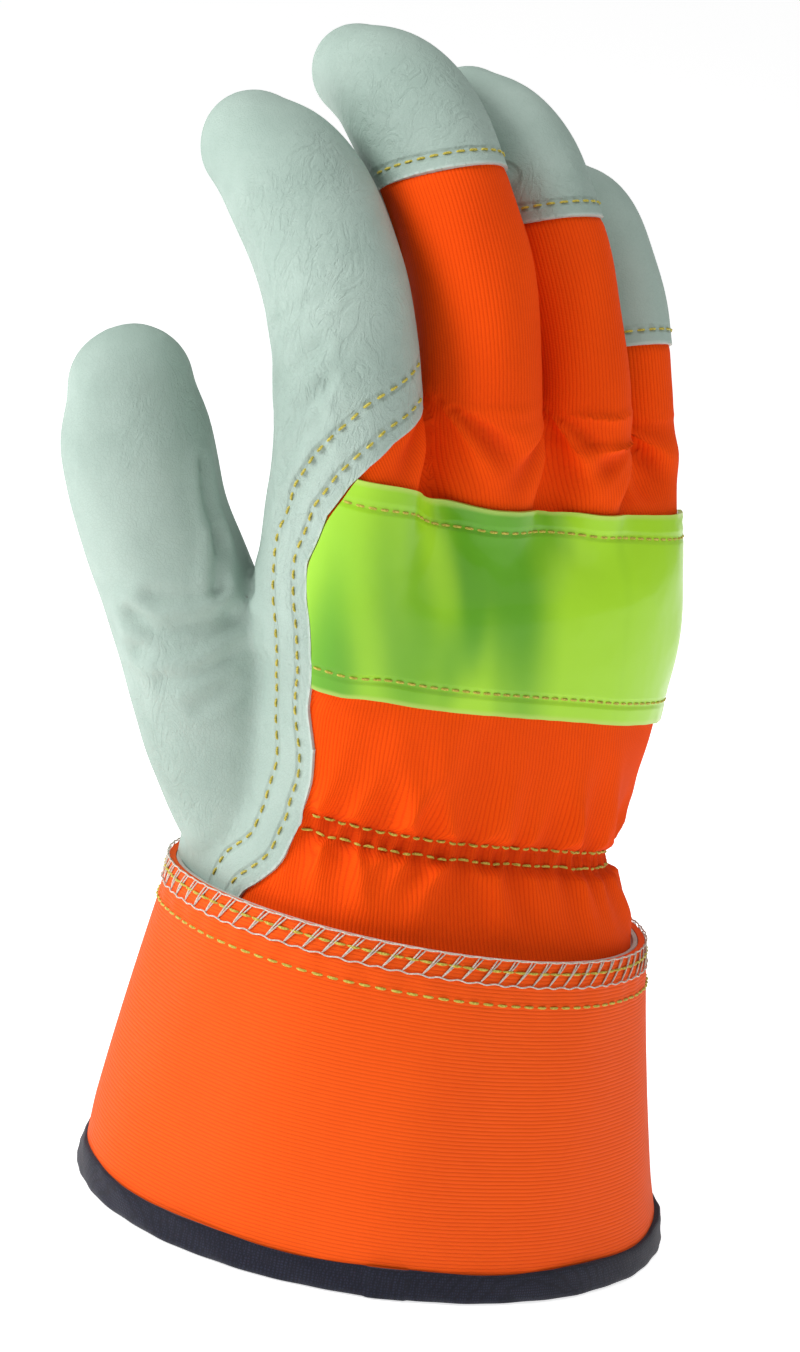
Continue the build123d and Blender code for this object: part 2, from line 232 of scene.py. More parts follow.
def ring_faces(rows, sides, base=0):
    """Faces of a closed tube, whose rings' points come before the two points that close its ends."""
    j = np.arange(sides)
    k = (j + 1) % sides
    faces = []
    for r in range(rows - 1):
        low, high = base + r * sides, base + (r + 1) * sides
        faces += np.stack([low + j, low + k, high + k, high + j], 1).tolist()
    start = base + rows * sides
    last = start - sides
    faces += np.stack([base + k, base + j, np.full(sides, start)], 1).tolist()
    faces += np.stack([last + j, last + k, np.full(sides, start + 1)], 1).tolist()
    return faces


def tube(stations, power=2.0, dome=1.0, sides=64, level=False):
    """Closed tube of superellipse rings through (x, y, z, half width, half depth), domed at its end."""
    s = spline(stations, 2.0)
    t, e, n = frames(s[:, :3])
    if level:
        t, e, n = (np.tile(np.array(v, float), (len(s), 1)) for v in ((0, 0, 1), (1, 0, 0), (0, 1, 0)))
    a, b = s[:, 3], s[:, 4]
    c = s[:, :3]
    for k in (0.2, 0.4, 0.6, 0.75, 0.87, 0.95, 0.99):
        shrink = math.sqrt(1 - k * k)
        c = np.vstack([c, s[-1, :3] + t[-1] * k * dome * min(s[-1, 3], s[-1, 4])])
        t, e, n = (np.vstack([v, v[-1]]) for v in (t, e, n))
        a, b = np.r_[a, s[-1, 3] * shrink], np.r_[b, s[-1, 4] * shrink]
    th = around(sides)
    ring = ring_points(c, a, b, squared(np.cos(th), 2 / power), squared(np.sin(th), 2 / power), e, n)
    return np.vstack([ring, c[:1], c[-1:]]), ring_faces(len(c), sides)


def shift(name, z):
    amount, start = SPREAD[name]
    return amount * ramp((z - start) / SPREAD_RUN)


def unspread(p):
    """Moves the fingers back together after the forms have been fused while they stood apart."""
    x, z = p[:, 0].copy(), p[:, 2]
    edges_from, edges_to = [], []
    for name in NAMES:
        c, h, d = FINGERS[name][4][0], HALF_WIDTH[name], shift(name, z)
        for side in (-h, h):
            edges_from.append(c + side + d)
            edges_to.append(np.full_like(z, c + side))
    out = x - shift("index", z)
    for i in range(len(edges_from) - 1):
        a, b, c, d = edges_from[i], edges_from[i + 1], edges_to[i], edges_to[i + 1]
        inside = (x >= a) & (x <= b)
        out = np.where(inside, c + (x - a) * (d - c) / np.maximum(b - a, 1e-6), out)
    out = np.where(x > edges_from[-1], x - shift("little", z), out)
    near = curve_frame(THUMB, p)[0]
    p[:, 0] = np.where(near < THUMB_CLEAR, x, out)
    return p


def fused(forms):
    """One closed surface round all the forms: (vertices, triangles, neighbour pairs)."""
    verts, faces, base = [], [], 0
    for v, f in forms:
        verts.append(v)
        faces += [[i + base for i in face] for face in f]
        base += len(v)
    mesh = bpy.data.meshes.new("forms")
    mesh.from_pydata(np.vstack(verts).tolist(), [], faces)
    obj = added("forms", mesh)
    modifier = obj.modifiers.new("fuse", "REMESH")
    modifier.mode = "VOXEL"
    modifier.voxel_size = VOXEL
    done = obj.evaluated_get(bpy.context.evaluated_depsgraph_get()).to_mesh()
    done.calc_loop_triangles()
    out = []
    for items, key, width in (
        (done.vertices, "co", 3), (done.loop_triangles, "vertices", 3), (done.edges, "vertices", 2)
    ):
        values = np.empty(len(items) * width, np.float32 if key == "co" else np.int32)
        items.foreach_get(key, values)
        out.append(values.reshape(-1, width))
    bpy.data.objects.remove(obj)
    return out[0].astype(float), out[1], out[2]


def relax(p, pairs, rounds, strength=0.5, back=0.52):
    """Evens the surface out, stepping back each round so that it doesn't shrink."""
    count = np.bincount(pairs.ravel(), minlength=len(p))[:, None]
    for _ in range(rounds):
        for step in (strength, -back):
            total = np.zeros_like(p)
            np.add.at(total, pairs[:, 0], p[pairs[:, 1]])
            np.add.at(total, pairs[:, 1], p[pairs[:, 0]])
            p = p + step * (total / count - p)
    return p


def normals(p, tris):
    n = np.cross(p[tris[:, 1]] - p[tris[:, 0]], p[tris[:, 2]] - p[tris[:, 0]])
    out = np.zeros_like(p)
    for k in range(3):
        np.add.at(out, tris[:, k], n)
    return unit(out)


def crossing(data, tris, f):
    """Points where a field is zero on the triangles' edges, and which triangles they are on."""
    side = f[tris] > 0
    mixed = np.where((side.sum(1) > 0) & (side.sum(1) < 3))[0]
    t, s = tris[mixed], side[mixed]
    lone = np.where(s.sum(1) == 1, s.argmax(1), (~s).argmax(1))
    rows = np.arange(len(t))
    a, b, c = (t[rows, (lone + k) % 3] for k in range(3))
    pairs = np.sort(np.vstack([np.stack([a, b], 1), np.stack([a, c], 1)]), 1)
    edges, where = np.unique(pairs, axis=0, return_inverse=True)
    where = where.ravel()
    i, j = edges[:, 0], edges[:, 1]
    w = (f[i] / (f[i] - f[j]))[:, None]
    return mixed, (a, b, c), data[i] * (1 - w) + data[j] * w, where[: len(t)], where[len(t):]


def cut(data, tris, f):
    """Triangles split where the field is zero, so that none has both signs."""
    mixed, (a, b, c), fresh, ab, ac = crossing(data, tris, f)
    base = len(data)
    ab, ac = ab + base, ac + base
    keep = np.ones(len(tris), bool)
    keep[mixed] = False
    new = np.vstack([np.stack([a, ab, ac], 1), np.stack([ab, b, c], 1), np.stack([ab, c, ac], 1)])
    return np.vstack([data, fresh]), np.vstack([tris[keep], new])


def contour(data, tris, f):
    """Lines along which the field is zero, longest first, each as rows of data."""
    _, _, fresh, ab, ac = crossing(data, tris, f)
    links = {}
    for i, j in zip(ab.tolist(), ac.tolist()):
        links.setdefault(i, []).append(j)
        links.setdefault(j, []).append(i)
    seen, lines = set(), []
    ends = [i for i in links if len(links[i]) == 1]
    for start in ends + list(links):
        if start in seen:
            continue
        line, ahead = [], [start]
        while ahead:
            line.append(ahead[0])
            seen.add(ahead[0])
            ahead = [j for j in links[ahead[0]] if j not in seen]
        if len(line) > 2 and start not in ends and line[0] in links[line[-1]]:
            line.append(line[0])
        lines.append(fresh[line])
    return sorted((v for v in lines if len(v) > 3), key=lambda v: -length_of(v))


def length_of(line):
    return np.linalg.norm(np.diff(line[:, :3], axis=0), axis=1).sum()


def distance_to(points, line):
    """Distance of each point from the nearest of a line's points."""
    best = np.full(len(points), 1e9)
    for q in line[:, :3]:
        best = np.minimum(best, ((points - q) ** 2).sum(1))
    return np.sqrt(best)


def waves(p, size, seed, count=14):
    """Soft unevenness between about -1 and 1 with features of the given size."""
    local = np.random.default_rng(seed)
    total = np.zeros(len(p))
    for _ in range(count):
        d = local.normal(size=3)
        d *= TURN / (size * local.uniform(0.7, 1.6)) / np.linalg.norm(d)
        total += np.sin(p @ d + local.uniform(0, 6.28))
    return total / math.sqrt(count)


# ------------------------------------------------------------------ objects
def add_mesh(name, verts, faces, material, attributes=None, loop_normals=None):
    mesh = bpy.data.meshes.new(name)
    mesh.from_pydata((leaned(verts) * MM).tolist(), [], [list(map(int, f)) for f in faces])
    for key, values in (attributes or {}).items():
        mesh.attributes.new(key, "FLOAT", "POINT").data.foreach_set("value", np.asarray(values, np.float32))
    mesh.polygons.foreach_set("use_smooth", np.ones(len(mesh.polygons), bool))
    if loop_normals is not None:
        mesh.normals_split_custom_set(leaned(loop_normals).tolist())
    mesh.materials.append(material)
    return added(name, mesh)


def shell(name, data, tris, offset, thick, material):
    """Closed panel: its outside at offset from the surface, thick mm deep, with square raw edges."""
    used, local = np.unique(tris, return_inverse=True)
    t = local.reshape(-1, 3)
    p, n = data[used, :3], unit(data[used, 3:6])
    outer, inner = p + n * offset, p + n * (offset - thick)
    count = len(p)
    directed = np.vstack([t[:, [0, 1]], t[:, [1, 2]], t[:, [2, 0]]])
    key = directed[:, 0] * count + directed[:, 1]
    reverse = directed[:, 1] * count + directed[:, 0]
    rim = directed[~np.isin(key, reverse)]
    quads = np.stack([rim[:, 1], rim[:, 0], rim[:, 0] + count, rim[:, 1] + count], 1)
    verts = np.vstack([outer, inner])
    faces = t.tolist() + (t[:, ::-1] + count).tolist() + quads.tolist()
    a, b, c, _ = (verts[quads[:, k]] for k in range(4))
    side = unit(np.cross(b - a, c - a))
    loops = np.vstack([n[t.ravel()], -n[t[:, ::-1].ravel()], np.repeat(side, 4, 0)])
    columns = {"rib": data[used, 6], "seam": data[used, 7], "along": data[used, 8]}
    if data.shape[1] > 16:
        columns.update(edge=data[used, 16], relief=data[used, 17])
    attributes = {k: np.r_[v, v] for k, v in columns.items()}
    attributes["inside"] = np.r_[np.zeros(count), np.ones(count)]
    return add_mesh(name, verts, faces, material, attributes, loops)


def declare(obj, slot, body, *nodes):
    """Parents a piece to the empty of the body it moves with, or bakes its place in when given a blend, and
    hides the parts it replaces; slot, what it is made of, is not used.
    """
    if isinstance(body, str):
        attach(obj, body)
    else:
        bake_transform(obj)
    if nodes:
        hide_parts(*nodes)


def sample(line, pitch):
    """Evenly spaced rows of data along a line, pitch apart."""
    t = travelled(line)
    keep = np.r_[True, np.diff(t) > 1e-6]
    t, line = t[keep], line[keep]
    u = np.arange(pitch / 2, t[-1], pitch)
    return np.stack([np.interp(u, t, line[:, k]) for k in range(line.shape[1])], 1)


def smoothed(line, rounds=6):
    line = line.copy()
    for _ in range(rounds):
        line[1:-1] = (line[:-2] + 2 * line[1:-1] + line[2:]) / 4
    return line


def threads(name, runs, radius, material, sides=7):
    """Short rounded lengths of thread, each given as its points, in one mesh."""
    verts, faces = [], []
    th = around(sides)
    for run in runs:
        run = np.asarray(run, float)
        t = unit(np.gradient(run, axis=0))
        e = unit(np.cross(t, [0.31, 0.52, 0.79]))
        swell = np.full(len(run), radius)
        swell[0] = swell[-1] = radius * 0.55
        faces += ring_faces(len(run), sides, len(verts))
        verts += ring_points(run, swell, swell, np.cos(th), np.sin(th), e, np.cross(t, e)).tolist()
        verts += [(run[0] - t[0] * radius * 0.7).tolist(), (run[-1] + t[-1] * radius * 0.7).tolist()]
    return add_mesh(name, verts, faces, material)


def stitches(line, pitch=2.9, length=2.3, lift=0.28, sink=0.3, offset=0.0):
    """Arched stitches along a line on the surface, as runs of points for threads()."""
    line = smoothed(line)
    fine = sample(line, 0.25)
    step = int(round(pitch / 0.25))
    half = int(round(length / 0.5))
    runs = []
    for i in range(half, len(fine) - half, step):
        pick = fine[[i - half, i - half // 2, i, i + half // 2, i + half]]
        height = np.array([-sink, lift * 0.7, lift, lift * 0.7, -sink]) + offset
        runs.append(pick[:, :3] + unit(pick[:, 3:6]) * height[:, None])
    return runs


# ------------------------------------------------------------------ materials
class Graph:
    """One new material, with short ways to add and link its nodes."""

    def __init__(self, name):
        self.material = bpy.data.materials.new(name)
        self.material.use_nodes = True
        self.tree = self.material.node_tree

    def feed(self, socket, value):
        """Links another node's output to a socket, or gives it a number, vector or colour."""
        if isinstance(value, bpy.types.NodeSocket):
            self.tree.links.new(value, socket)
        elif isinstance(value, tuple):
            socket.default_value = (*value, 1)[: len(socket.default_value)]
        else:
            socket.default_value = value

    def add(self, kind, inputs=None, **settings):
        node = self.tree.nodes.new(kind)
        for key, value in settings.items():
            setattr(node, key, value)
        for key, value in (inputs or {}).items():
            self.feed(node.inputs[key], value)
        return node

    def settle(self, **values):
        """The material, once its shader's sockets, named with underscores for spaces, have been fed."""
        for key, value in values.items():
            self.feed(self.tree.nodes["Principled BSDF"].inputs[key.replace("_", " ")], value)
        return self.material

    def math(self, operation, *values):
        node = self.add("ShaderNodeMath", operation=operation)
        for socket, value in zip(node.inputs, values):
            self.feed(socket, value)
        return node.outputs[0]

    def off(self, value, centre):
        """How far a value is from a number."""
        return self.math("ABSOLUTE", self.math("SUBTRACT", value, centre))

    def attribute(self, name):
        return self.add("ShaderNodeAttribute", attribute_name=name).outputs["Fac"]

    def place(self, scale=(1, 1, 1)):
        coord = self.add("ShaderNodeTexCoord").outputs["Object"]
        return self.add("ShaderNodeMapping", {"Scale": scale, "Vector": coord}).outputs["Vector"]

    def noise(self, scale, detail=4.0, rough=0.5, vector=None, distortion=0.0):
        inputs = {"Scale": scale, "Detail": detail, "Roughness": rough, "Distortion": distortion}
        inputs["Vector"] = self.place() if vector is None else vector
        return self.add("ShaderNodeTexNoise", inputs).outputs["Fac"]

    def cells(self, scale, randomness=1.0):
        """Distance to the edges between scattered cells."""
        inputs = {"Scale": scale, "Randomness": randomness, "Vector": self.place()}
        return self.add("ShaderNodeTexVoronoi", inputs, feature="DISTANCE_TO_EDGE").outputs["Distance"]

    def band(self, value, low, high, to_low=0.0, to_high=1.0):
        inputs = {"Value": value, "From Min": low, "From Max": high, "To Min": to_low, "To Max": to_high}
        return self.add("ShaderNodeMapRange", inputs, interpolation_type="SMOOTHSTEP").outputs["Result"]

    def mix(self, factor, a, b):
        inputs = {"Factor": factor, "A": a, "B": b}
        return self.add("ShaderNodeMix", inputs, data_type="RGBA").outputs["Result"]

    def bump(self, height, strength, distance, under=None):
        inputs = {"Strength": strength, "Distance": distance, "Height": height}
        if under is not None:
            inputs["Normal"] = under
        return self.add("ShaderNodeBump", inputs).outputs["Normal"]

    def ribs(self, value, pitch):
        """Rounded ribs, 0 in the grooves and 1 on top, across an attribute in millimetres."""
        return self.math("ABSOLUTE", self.math("SINE", self.math("MULTIPLY", value, math.pi / pitch)))


def leather_material():
    g = Graph("glove_leather")
    seam = g.attribute("seam")
    mottle = g.noise(38, 5, 0.6)
    patch = g.noise(14, 3, 0.5)
    colour = g.mix(g.band(mottle, 0.3, 0.72), (0.300, 0.400, 0.350), (0.385, 0.490, 0.435))
    colour = g.mix(g.band(patch, 0.35, 0.7, 0.0, 0.35), colour, (0.440, 0.545, 0.490))
    pores = g.band(g.cells(1500), 0.0, 0.13, 1.0, 0.0)
    colour = g.mix(g.math("MULTIPLY", pores, 0.16), colour, (0.25, 0.33, 0.29))
    raw = g.band(seam, 0.25, 0.7, 1.0, 0.0)
    colour = g.mix(g.math("MULTIPLY", raw, 0.75), colour, (0.52, 0.60, 0.55))
    near_row = g.band(g.off(seam, EDGE_ROWS[0]), 0.2, 1.1, 1.0, 0.0)
    far_row = g.band(g.off(g.attribute("edge"), EDGE_ROWS[1]), 0.2, 1.1, 1.0, 0.0)
    groove = g.math("ADD", near_row, far_row)
    # painted shade: the leather darkened in the grooves of the stitch rows
    colour = g.mix(g.math("MULTIPLY", groove, 0.10), colour, (0.25, 0.33, 0.29))
    colour = g.mix(g.attribute("inside"), colour, (0.46, 0.50, 0.46))
    grain = g.math("ADD", g.math("MULTIPLY", g.noise(900, 4, 0.6), 0.7), g.math("MULTIPLY", pores, -0.5))
    soft = g.noise(120, 4, 0.55, distortion=0.4)
    n = g.bump(soft, 0.3, 0.0012)
    wrinkles = g.off(g.noise(230, 5, 0.6, g.place((1, 1, 0.45)), 1.0), 0.5)
    where = g.band(g.noise(24, 2, 0.5), 0.42, 0.62)
    n = g.bump(g.math("MULTIPLY", g.band(wrinkles, 0.0, 0.09), where), 0.4, 0.0004, n)
    n = g.bump(g.math("MULTIPLY", groove, -1.0), 0.8, 0.0004, n)
    n = g.bump(grain, 0.35, 0.00018, n)
    rough = g.band(mottle, 0.2, 0.8, 0.62, 0.48)
    return g.settle(Base_Color=colour, Normal=n, Roughness=rough, Specular_IOR_Level=0.3)


def cloth_material(name, rib_attribute, pitch, bright, deep, rough, shine=0.25, folds=0.0):
    """Ribbed cloth: ribs across one attribute, fine threads across another, slightly uneven dye; painted
    shade in the rib grooves, and in the fold valleys as strong as folds.
    """
    g = Graph(name)
    wander = g.math("MULTIPLY", g.math("SUBTRACT", g.noise(160, 3, 0.5), 0.5), pitch * 0.25)
    rib = g.ribs(g.math("ADD", g.attribute(rib_attribute), wander), pitch)
    weft = g.ribs(g.attribute("along" if rib_attribute == "rib" else "rib"), pitch * 0.62)
    height = g.math("ADD", rib, g.math("MULTIPLY", weft, 0.28))
    uneven = g.noise(60, 4, 0.6)
    # painted shade: the rib grooves take the deep colour and the rib tops the bright one
    colour = g.mix(g.band(rib, 0.05, 0.75), deep, bright)
    colour = g.mix(g.band(uneven, 0.35, 0.75, 0.0, 0.22), colour, deep)
    # painted shade: the cloth darkened where its folds sink in (low relief), as strong as folds
    if folds:
        colour = g.mix(g.band(g.attribute("relief"), -2.6, 1.0, folds, 0.0), colour, (0.42, 0.014, 0.0003))
    n = g.bump(g.noise(90, 3, 0.5), 0.15, 0.0006)
    n = g.bump(height, 0.45, 0.00016, n)
    n = g.bump(g.noise(4200, 2, 0.6), 0.25, 0.00008, n)
    return g.settle(Base_Color=colour, Normal=n, Roughness=rough, Specular_IOR_Level=shine)


def strip_material():
    g = Graph("reflective_vinyl")
    # painted reflection: streaks of dark and bright green across the vinyl
    painted_reflection_streaks = g.noise(22, 2, 0.45, g.place((1.0, 1.0, 0.34)), 0.8)
    colour = g.mix(g.band(painted_reflection_streaks, 0.34, 0.46), (0.085, 0.330, 0.004), (0.360, 0.690, 0.016))
    edge = g.band(g.attribute("seam"), 0.3, 1.2, 1.0, 0.0)
    colour = g.mix(g.math("MULTIPLY", edge, 0.5), colour, (0.55, 0.66, 0.16))
    n = g.bump(g.noise(55, 3, 0.5), 0.35, 0.0022)
    n = g.bump(g.cells(2300, 0.12), 0.10, 0.00006, n)
    row = g.band(g.off(g.attribute("seam"), STRIP_ROW), 0.2, 1.3, 0.0, 1.0)
    n = g.bump(row, 0.7, 0.0004, n)
    g.settle(Base_Color=colour, Normal=n, Roughness=0.3, Specular_IOR_Level=0.3, Coat_Weight=0.25)
    # painted glow: the vinyl gives off faint green light of its own
    return g.settle(Coat_Roughness=0.07, Emission_Color=(0.42, 0.7, 0.03), Emission_Strength=0.06)


def thread_material(name, light, dark):
    g = Graph(name)
    twist = g.noise(2600, 2, 0.5, g.place((1, 1, 1.6)))
    g.settle(Base_Color=g.mix(g.band(twist, 0.35, 0.65), dark, light), Normal=g.bump(twist, 0.5, 0.0001))
    return g.settle(Roughness=0.55, Specular_IOR_Level=0.35)


def woven_material(name, light, dark, scale):
    g = Graph(name)
    weave = g.cells(scale, 0.35)
    soft = g.noise(140, 3, 0.5)
    colour = g.mix(g.band(weave, 0.0, 0.35), dark, light)
    colour = g.mix(g.band(soft, 0.4, 0.7, 0.0, 0.3), colour, dark)
    n = g.bump(weave, 0.6, 0.00015, g.bump(soft, 0.3, 0.0006))
    return g.settle(Base_Color=colour, Normal=n, Roughness=0.82, Specular_IOR_Level=0.2, Sheen_Weight=0.15)


STRIP_ROW = 4.2
ORANGE = (0.93, 0.080, 0.0010)
ORANGE_DEEP = (0.80, 0.058, 0.0007)
LEATHER = leather_material()
# the back cloth's fold valleys get painted shade (folds)
BACK_CLOTH = cloth_material("ribbed_back_cloth", "rib", 0.75, ORANGE, ORANGE_DEEP, 0.85, shine=0.1, folds=0.6)
CUFF_CLOTH = cloth_material(
    "stiff_cuff_cloth", "along", 0.7, (0.90, 0.098, 0.0016), (0.78, 0.070, 0.0010), 0.7, shine=0.18
)
STRIP = strip_material()
YELLOW = thread_material("yellow_thread", (0.62, 0.52, 0.08), (0.36, 0.30, 0.03))
PALE = thread_material("overlock_thread", (0.66, 0.62, 0.54), (0.46, 0.42, 0.35))
NAVY = woven_material("navy_binding", (0.018, 0.021, 0.042), (0.007, 0.008, 0.016), 1900)
LINING = woven_material("cotton_lining", (0.62, 0.59, 0.53), (0.46, 0.43, 0.38), 1500)
ELASTIC = woven_material("woven_elastic", (0.7, 0.68, 0.62), (0.5, 0.48, 0.44), 1100)


# ------------------------------------------------------------------ the glove's skin
def grow_skin():
    forms = [tube(HAND, HAND_POWER, 0.5, 96, True), tube(WEB, 2.3, 0.8, 96), tube(THUMB)]
    for name in NAMES:
        verts, faces = tube(FINGERS[name])
        verts[:, 0] += shift(name, verts[:, 2])
        forms.append((verts, faces))
    p, tris, pairs = fused(forms)
    p = relax(p, pairs, 9, 0.6, 0.3)
    p = unspread(p)
    return relax(p, pairs, 2), tris


def curve_frame(stations, p):
    """For each point: how far off the stations' path it is, sideways and palmward, and the nearest row."""
    s = spline(stations, 1.0)
    t, e, n = frames(s[:, :3])
    tip = s[-1:, :].repeat(14, 0)
    tip[:, :3] += t[-1] * np.arange(1, 15)[:, None]
    s = np.vstack([s, tip])
    t, e, n = (np.vstack([v, v[-1:].repeat(14, 0)]) for v in (t, e, n))
    nearest = np.zeros(len(p), int)
    best = np.full(len(p), 1e12)
    for i in range(len(s)):
        d = ((p - s[i, :3]) ** 2).sum(1)
        closer = d < best
        best[closer], nearest[closer] = d[closer], i
    off = p - s[nearest, :3]
    return np.sqrt(best), (off * e[nearest]).sum(1), (off * n[nearest]).sum(1), s[nearest]


def column(p):
    """Which finger's column each point stands in, 0 to 3."""
    return np.digitize(p[:, 0], COLUMN_EDGES)


def thumb_field(p):
    """Positive on the thumb's own blended piece: past its start plane and close to its middle line."""
    ahead = (p - np.array(THUMB_START)) @ unit(THUMB_TURN)
    near = curve_frame(THUMB, p)[0]
    return np.minimum(ahead, THUMB_REACH - near)


def finger_field(p):
    """Positive above the start of each finger's blended piece."""
    start = np.array([FINGER_START[n] for n in NAMES], float)
    f = p[:, 2] - start[column(p)]
    return np.where(thumb_field(p) > -3, -5.0, f)


def back_limit(p):
    """The y that cloth reaches round to on the little finger's side and up the finger backs."""
    x, z = p[:, 0], p[:, 2]
    high = np.interp(x, [-14, 10, 21, 33, 43], [-7, -11, -12, -6, -4.5])
    return -1.0 + (high + 1.0) * ramp((z - 142) / 22) - 5.0 * ramp((-25 - x) / 8)


def above_cap_seam(name, p):
    """Distance above the leaning plane of a finger's leather cap."""
    y, height = CAPS[name]
    return (p - np.array([0, y, height])) @ unit([0, *CAP_LEAN[name]])


def cloth_field(p):
    """Positive where the glove's skin is cloth and negative where it is leather."""
    x, z = p[:, 0], p[:, 2]
    edge = np.array(PALM_EDGE, float)
    hand = np.minimum(x - np.interp(z, edge[:, 0], edge[:, 1]), back_limit(p) - p[:, 1])
    out = hand.copy()
    col = column(p)
    for i, name in enumerate(NAMES):
        if name == "index":
            out = np.where((col == i) & (z > 167.5), -4.0, out)
            continue
        side = side_field(name, p)
        below = -above_cap_seam(name, p)
        out = np.where((col == i) & (z > FINGER_START[name]), np.minimum(side, below), out)
    return out


def side_field(name, p):
    """Positive on the back of a finger, past the seams along its two sides."""
    _, _, palmward, row = curve_frame(FINGERS[name], p)
    return -palmward - SIDE_SEAM[name] * row[:, 4]


def rib_values(p):
    """Millimetres across the ribs of the cloth and along them, gathered in with the wrist."""
    z = p[:, 2]
    cx, cy, rx, ry = at_height(HAND, z)
    flat = np.maximum(rx - ry, 0)
    u = p[:, 0] - cx
    bent = ry * np.arcsin(np.clip((np.abs(u) - flat) / ry, 0, 1))
    arc = np.sign(u) * np.where(np.abs(u) > flat, flat + bent, np.abs(u))
    arc = np.where(p[:, 1] > cy, np.sign(u) * (2 * (flat + ry * math.pi / 2)) - arc, arc)
    full = flat + ry * math.pi / 2
    rib = arc * 55.0 / full
    for i, name in enumerate(NAMES):
        _, side, palmward, row = curve_frame(FINGERS[name], p)
        arc = np.arctan2(side, np.maximum(np.abs(palmward), 1e-3)) * (row[:, 3] + row[:, 4]) / 2
        own = arc + FINGERS[name][3][0]
        mine = column(p) == i
        share = ramp((z - FINGER_START[name] + 22) / 22) * mine
        rib = rib * (1 - share) + own * share
    return rib, z.copy()


def above_shirring(p):
    """Height above the upper row of shirring."""
    return p[:, 2] - np.interp(p[:, 0], SHIRR_X, SHIRR_Z)


def gather(p):
    """Folds fanning out from the rows of shirring, puckers between them, and folds at the crotches."""
    x, z = p[:, 0], p[:, 2]
    above = above_shirring(p) + SHIRR_GAP / 2
    rib, _ = rib_values(p)
    above_seam = z - seam_height(x, p[:, 1])
    d = np.abs(above)
    local = np.random.default_rng(23)
    move = np.zeros(len(p))
    for up in (1, -1):
        here = ramp(up * above / 3.0)
        for start in np.arange(-62, 62, 6.2):
            start = start + local.uniform(-1.6, 1.6)
            slope = local.uniform(-0.42, 0.42)
            size = local.uniform(1.8, 3.6)
            reach = local.uniform(8, 16) if up > 0 else local.uniform(6, 10)
            width = local.uniform(1.3, 1.9) + 0.12 * d
            off = (rib - start - slope * d) / width
            move += here * size * np.exp(-off**2) * np.exp(-d / reach) * ramp(d / 5 + 0.25)
    phase = rib + 0.8 * np.sin(rib / 3.7)
    puckers = 0.42 * np.sin(phase * TURN / 3.9) * np.exp(-((d / 2.4) ** 2))
    rows = -0.45 * np.exp(-(((d - SHIRR_GAP / 2) / 0.7) ** 2))
    dip = -1.3 * np.exp(-((d / 4.5) ** 2))
    calm = ramp((above_seam + 1) / 7)
    crotch = 0
    for cx, cz in zip(COLUMN_EDGES, CROTCH_Z):
        a = np.arctan2(x - cx, cz - z + 1e-6)
        r = np.hypot(x - cx, z - cz)
        fan = np.sin(a * 7 + cx) + 0.5 * np.sin(a * 12 + 1)
        crotch = crotch + 0.8 * fan * np.exp(-(((r - 9) / 8) ** 2)) * (z < cz)
    slack = 0.35 * waves(p * np.array([1, 1, 0.5]), 17, 9) * ramp((z - 140) / 15)
    return (move + puckers + rows + dip) * calm + crotch * ramp((z - 140) / 8) + slack


def leather_relief(p):
    """Soft dents and creases in the leather: round the thumb's root, and at the index finger's bends."""
    move = 0.28 * waves(p, 34, 3) + 0.13 * waves(p, 15, 4)
    for line, depth, width in CREASES:
        pts = spline([(*q, 0, 0) for q in line], 1.0)
        d = distance_to(p, pts)
        banks = np.exp(-(((d - 2.2 * width) / (1.2 * width)) ** 2))
        move += depth * (0.45 * banks - np.exp(-((d / width) ** 2)))
    return move


# creases as (points on the surface, depth, width)
CREASES = [
    ([(-44, 11, 149), (-44, 9, 142), (-43, 7, 136), (-43.5, 6, 131), (-44, 5, 127)], 1.3, 1.3),
    ([(-43, 8, 136), (-40, 4, 131), (-37.5, 2, 127)], 1.0, 1.2),
    ([(-55, 9, 125), (-51, 6, 125), (-45, 4, 126)], 0.7, 1.5),
    ([(-57, 12, 120), (-54, 9, 118), (-49, 4, 120), (-42, 3, 122)], 1.2, 1.7),
    ([(-55, 12, 114), (-51, 6, 115), (-45, 3, 118), (-40, 1, 121)], 1.0, 1.6),
    ([(-52, 8, 109), (-47, 4, 111), (-42, 1, 115), (-39, -3, 121)], 0.7, 1.5),
    ([(-47, 3, 105), (-43, 0, 109), (-39, -4, 115)], 0.5, 1.5),
    ([(-38, -1, 166), (-39, -8, 171), (-38, -13, 177)], 0.6, 1.3),
    ([(-40, -7, 159), (-39, -12, 165), (-37, -15, 170)], 0.8, 1.3),
    ([(-40, -7, 151), (-39, -11, 158), (-38, -15, 164)], 0.7, 1.3),
    ([(-40, -8, 144), (-39, -13, 151), (-38, -17, 158)], 0.6, 1.3),
    ([(-39.5, 2, 176), (-39, -5, 181), (-37, -11, 185)], 0.4, 1.3),
]


def hollows(move, tris, reach=4, rounds=6):
    """How far the skin's folds reach inward round each point, so that linings can stay below them."""
    pairs = np.vstack([tris[:, [0, 1]], tris[:, [1, 2]], tris[:, [2, 0]]])
    low = np.minimum(move, 0)
    for _ in range(reach):
        deeper = low.copy()
        np.minimum.at(deeper, pairs[:, 0], low[pairs[:, 1]])
        np.minimum.at(deeper, pairs[:, 1], low[pairs[:, 0]])
        low = deeper
    return relax(low[:, None], pairs, rounds, 0.6, 0.0)[:, 0]


def under(data, offset):
    """The calm surface below the folds, offset from it, as data for an inner panel."""
    inner = data.copy()
    inner[:, :3] = data[:, 9:12] + data[:, 12:15] * (data[:, 15] + offset)[:, None]
    inner[:, 3:6] = data[:, 12:15]
    return inner


